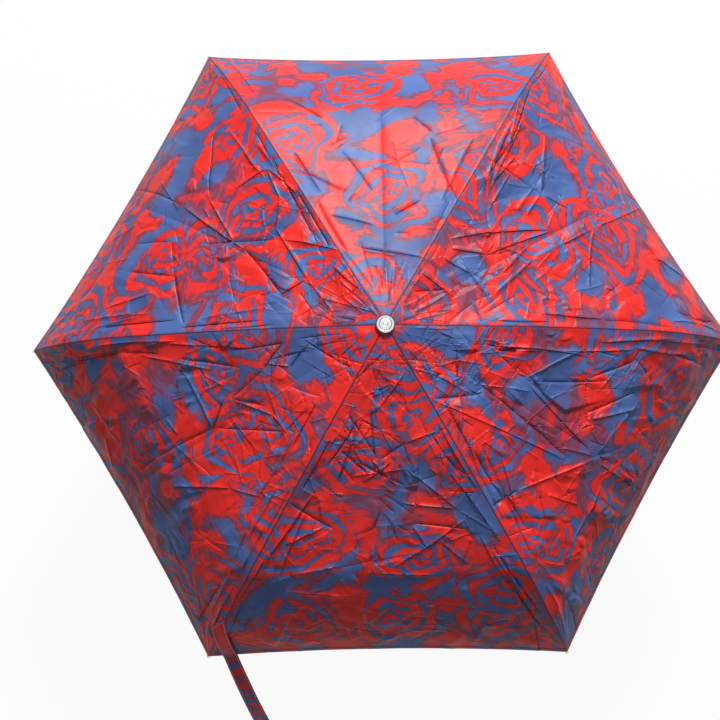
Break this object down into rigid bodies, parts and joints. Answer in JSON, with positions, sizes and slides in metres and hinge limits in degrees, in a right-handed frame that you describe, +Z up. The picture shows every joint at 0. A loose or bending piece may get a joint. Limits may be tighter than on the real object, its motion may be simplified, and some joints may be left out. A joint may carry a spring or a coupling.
{
  "type": "folding umbrella",
  "caption": "Compact three-fold umbrella, open, with a patterned red and blue canopy, telescopic shaft, folding ribs and a closure strap.",
  "frame": {"origin": "middle of the handle's flat end", "axes": "+Z up the shaft to the cap; +X along rib 1; the ribs follow anticlockwise seen from above, and the strap is on rib 5"},
  "size_m": [0.9094, 0.9011, 0.526],
  "materials": {
    "canopy_cloth": "printed woven polyester with a low sheen",
    "grip_plastic": "soft matt",
    "black_plastic": "satin moulded",
    "bright_metal": "bright plated",
    "frame_steel": "satin plated"
  },
  "bodies": {
    "handle": {"handle_grip": "grip_plastic", "handle_end_cap": "black_plastic", "handle_collar": "bright_metal", "lower_tube": "frame_steel"},
    "middle_shaft": {"middle_tube": "frame_steel"},
    "top_shaft": {"top_tube": "frame_steel", "runner_stop_collar": "black_plastic", "crown_notch": "black_plastic", "crown_pivot_wire": "frame_steel", "cap_ring": "black_plastic", "silver_cap": "bright_metal", "canopy_gore_1": "canopy_cloth", "canopy_gore_2": "canopy_cloth", "canopy_gore_3": "canopy_cloth", "canopy_gore_4": "canopy_cloth", "canopy_gore_5": "canopy_cloth", "canopy_gore_6": "canopy_cloth"},
    "runner": {"runner": "black_plastic"},
    "button": {"runner_button": "bright_metal"},
    "inner_1": {"inner_rib_1": "frame_steel"},
    "stretcher_1": {"stretcher_1": "frame_steel"},
    "middle_1": {"middle_rib_1": "frame_steel"},
    "outer_1": {"outer_rib_1": "frame_steel", "rib_tip_1": "bright_metal"},
    "inner_2": {"inner_rib_2": "frame_steel"},
    "stretcher_2": {"stretcher_2": "frame_steel"},
    "middle_2": {"middle_rib_2": "frame_steel"},
    "outer_2": {"outer_rib_2": "frame_steel", "rib_tip_2": "bright_metal"},
    "inner_3": {"inner_rib_3": "frame_steel"},
    "stretcher_3": {"stretcher_3": "frame_steel"},
    "middle_3": {"middle_rib_3": "frame_steel"},
    "outer_3": {"outer_rib_3": "frame_steel", "rib_tip_3": "bright_metal"},
    "inner_4": {"inner_rib_4": "frame_steel"},
    "stretcher_4": {"stretcher_4": "frame_steel"},
    "middle_4": {"middle_rib_4": "frame_steel"},
    "outer_4": {"outer_rib_4": "frame_steel", "rib_tip_4": "bright_metal"},
    "inner_5": {"inner_rib_5": "frame_steel"},
    "stretcher_5": {"stretcher_5": "frame_steel"},
    "middle_5": {"middle_rib_5": "frame_steel"},
    "outer_5": {"outer_rib_5": "frame_steel", "rib_tip_5": "bright_metal", "closure_strap": "canopy_cloth", "snap_socket": "bright_metal", "snap_stud": "bright_metal"},
    "inner_6": {"inner_rib_6": "frame_steel"},
    "stretcher_6": {"stretcher_6": "frame_steel"},
    "middle_6": {"middle_rib_6": "frame_steel"},
    "outer_6": {"outer_rib_6": "frame_steel", "rib_tip_6": "bright_metal"}
  },
  "joints": [
    {"name": "middle_tube_slide", "type": "slide", "parent": "handle", "child": "middle_shaft", "axis": [0, 0, -1], "range_m": [0, 0.141]},
    {"name": "top_tube_slide", "type": "slide", "parent": "middle_shaft", "child": "top_shaft", "axis": [0, 0, -1], "range_m": [0, 0.14]},
    {"name": "fold", "type": "slide", "parent": "top_shaft", "child": "runner", "axis": [0, 0, -1], "range_m": [0, 0.095], "deforming": ["canopy_gore_1", "canopy_gore_2", "canopy_gore_3", "canopy_gore_4", "canopy_gore_5", "canopy_gore_6", "closure_strap"]},
    {"name": "runner_button_press", "type": "slide", "parent": "runner", "child": "button", "axis": [0, 1, 0], "range_m": [0, 0.0012], "stiffness_N_per_m": 400},
    {"name": "inner_hinge_1", "type": "hinge", "parent": "top_shaft", "child": "inner_1", "pos_m": [0.011, 0, 0.515], "axis": [0, 1, 0], "range_deg": [0, 81]},
    {"name": "stretcher_hinge_1", "type": "hinge", "parent": "inner_1", "child": "stretcher_1", "pos_m": [0.07609, 0, 0.50408], "axis": [0, 1, 0], "range_deg": [-139.15, 0]},
    {"name": "middle_hinge_1", "type": "hinge", "parent": "inner_1", "child": "middle_1", "pos_m": [0.17135, 0, 0.49183], "axis": [0, 1, 0], "range_deg": [-187, 0]},
    {"name": "outer_hinge_1", "type": "hinge", "parent": "middle_1", "child": "outer_1", "pos_m": [0.32196, 0, 0.44386], "axis": [0, 1, 0], "range_deg": [0, 156]},
    {"name": "inner_hinge_2", "type": "hinge", "parent": "top_shaft", "child": "inner_2", "pos_m": [0.0055, 0.00953, 0.515], "axis": [-0.866, 0.5, 0], "range_deg": [0, 81]},
    {"name": "stretcher_hinge_2", "type": "hinge", "parent": "inner_2", "child": "stretcher_2", "pos_m": [0.03805, 0.0659, 0.50408], "axis": [-0.866, 0.5, 0], "range_deg": [-139.15, 0]},
    {"name": "middle_hinge_2", "type": "hinge", "parent": "inner_2", "child": "middle_2", "pos_m": [0.08568, 0.14839, 0.49183], "axis": [-0.866, 0.5, 0], "range_deg": [-187, 0]},
    {"name": "outer_hinge_2", "type": "hinge", "parent": "middle_2", "child": "outer_2", "pos_m": [0.16098, 0.27883, 0.44386], "axis": [-0.866, 0.5, 0], "range_deg": [0, 156]},
    {"name": "inner_hinge_3", "type": "hinge", "parent": "top_shaft", "child": "inner_3", "pos_m": [-0.0055, 0.00953, 0.515], "axis": [-0.866, -0.5, 0], "range_deg": [0, 81]},
    {"name": "stretcher_hinge_3", "type": "hinge", "parent": "inner_3", "child": "stretcher_3", "pos_m": [-0.03805, 0.0659, 0.50408], "axis": [-0.866, -0.5, 0], "range_deg": [-139.15, 0]},
    {"name": "middle_hinge_3", "type": "hinge", "parent": "inner_3", "child": "middle_3", "pos_m": [-0.08568, 0.14839, 0.49183], "axis": [-0.866, -0.5, 0], "range_deg": [-187, 0]},
    {"name": "outer_hinge_3", "type": "hinge", "parent": "middle_3", "child": "outer_3", "pos_m": [-0.16098, 0.27883, 0.44386], "axis": [-0.866, -0.5, 0], "range_deg": [0, 156]},
    {"name": "inner_hinge_4", "type": "hinge", "parent": "top_shaft", "child": "inner_4", "pos_m": [-0.011, 0, 0.515], "axis": [0, -1, 0], "range_deg": [0, 81]},
    {"name": "stretcher_hinge_4", "type": "hinge", "parent": "inner_4", "child": "stretcher_4", "pos_m": [-0.07609, 0, 0.50408], "axis": [0, -1, 0], "range_deg": [-139.15, 0]},
    {"name": "middle_hinge_4", "type": "hinge", "parent": "inner_4", "child": "middle_4", "pos_m": [-0.17135, 0, 0.49183], "axis": [0, -1, 0], "range_deg": [-187, 0]},
    {"name": "outer_hinge_4", "type": "hinge", "parent": "middle_4", "child": "outer_4", "pos_m": [-0.32196, 0, 0.44386], "axis": [0, -1, 0], "range_deg": [0, 156]},
    {"name": "inner_hinge_5", "type": "hinge", "parent": "top_shaft", "child": "inner_5", "pos_m": [-0.0055, -0.00953, 0.515], "axis": [0.866, -0.5, 0], "range_deg": [0, 81]},
    {"name": "stretcher_hinge_5", "type": "hinge", "parent": "inner_5", "child": "stretcher_5", "pos_m": [-0.03805, -0.0659, 0.50408], "axis": [0.866, -0.5, 0], "range_deg": [-139.15, 0]},
    {"name": "middle_hinge_5", "type": "hinge", "parent": "inner_5", "child": "middle_5", "pos_m": [-0.08568, -0.14839, 0.49183], "axis": [0.866, -0.5, 0], "range_deg": [-187, 0]},
    {"name": "outer_hinge_5", "type": "hinge", "parent": "middle_5", "child": "outer_5", "pos_m": [-0.16098, -0.27883, 0.44386], "axis": [0.866, -0.5, 0], "range_deg": [0, 156]},
    {"name": "inner_hinge_6", "type": "hinge", "parent": "top_shaft", "child": "inner_6", "pos_m": [0.0055, -0.00953, 0.515], "axis": [0.866, 0.5, 0], "range_deg": [0, 81]},
    {"name": "stretcher_hinge_6", "type": "hinge", "parent": "inner_6", "child": "stretcher_6", "pos_m": [0.03805, -0.0659, 0.50408], "axis": [0.866, 0.5, 0], "range_deg": [-139.15, 0]},
    {"name": "middle_hinge_6", "type": "hinge", "parent": "inner_6", "child": "middle_6", "pos_m": [0.08568, -0.14839, 0.49183], "axis": [0.866, 0.5, 0], "range_deg": [-187, 0]},
    {"name": "outer_hinge_6", "type": "hinge", "parent": "middle_6", "child": "outer_6", "pos_m": [0.16098, -0.27883, 0.44386], "axis": [0.866, 0.5, 0], "range_deg": [0, 156]}
  ],
  "couplings": [
    {"joint": "inner_hinge_1", "follows": "fold", "rad_per_m": 14.881},
    {"joint": "stretcher_hinge_1", "follows": "fold", "rad_per_m": -25.564},
    {"joint": "middle_hinge_1", "follows": "fold", "rad_per_m": -34.355},
    {"joint": "outer_hinge_1", "follows": "fold", "rad_per_m": 28.66},
    {"joint": "inner_hinge_2", "follows": "fold", "rad_per_m": 14.881},
    {"joint": "stretcher_hinge_2", "follows": "fold", "rad_per_m": -25.564},
    {"joint": "middle_hinge_2", "follows": "fold", "rad_per_m": -34.355},
    {"joint": "outer_hinge_2", "follows": "fold", "rad_per_m": 28.66},
    {"joint": "inner_hinge_3", "follows": "fold", "rad_per_m": 14.881},
    {"joint": "stretcher_hinge_3", "follows": "fold", "rad_per_m": -25.564},
    {"joint": "middle_hinge_3", "follows": "fold", "rad_per_m": -34.355},
    {"joint": "outer_hinge_3", "follows": "fold", "rad_per_m": 28.66},
    {"joint": "inner_hinge_4", "follows": "fold", "rad_per_m": 14.881},
    {"joint": "stretcher_hinge_4", "follows": "fold", "rad_per_m": -25.564},
    {"joint": "middle_hinge_4", "follows": "fold", "rad_per_m": -34.355},
    {"joint": "outer_hinge_4", "follows": "fold", "rad_per_m": 28.66},
    {"joint": "inner_hinge_5", "follows": "fold", "rad_per_m": 14.881},
    {"joint": "stretcher_hinge_5", "follows": "fold", "rad_per_m": -25.564},
    {"joint": "middle_hinge_5", "follows": "fold", "rad_per_m": -34.355},
    {"joint": "outer_hinge_5", "follows": "fold", "rad_per_m": 28.66},
    {"joint": "inner_hinge_6", "follows": "fold", "rad_per_m": 14.881},
    {"joint": "stretcher_hinge_6", "follows": "fold", "rad_per_m": -25.564},
    {"joint": "middle_hinge_6", "follows": "fold", "rad_per_m": -34.355},
    {"joint": "outer_hinge_6", "follows": "fold", "rad_per_m": 28.66}
  ]
}
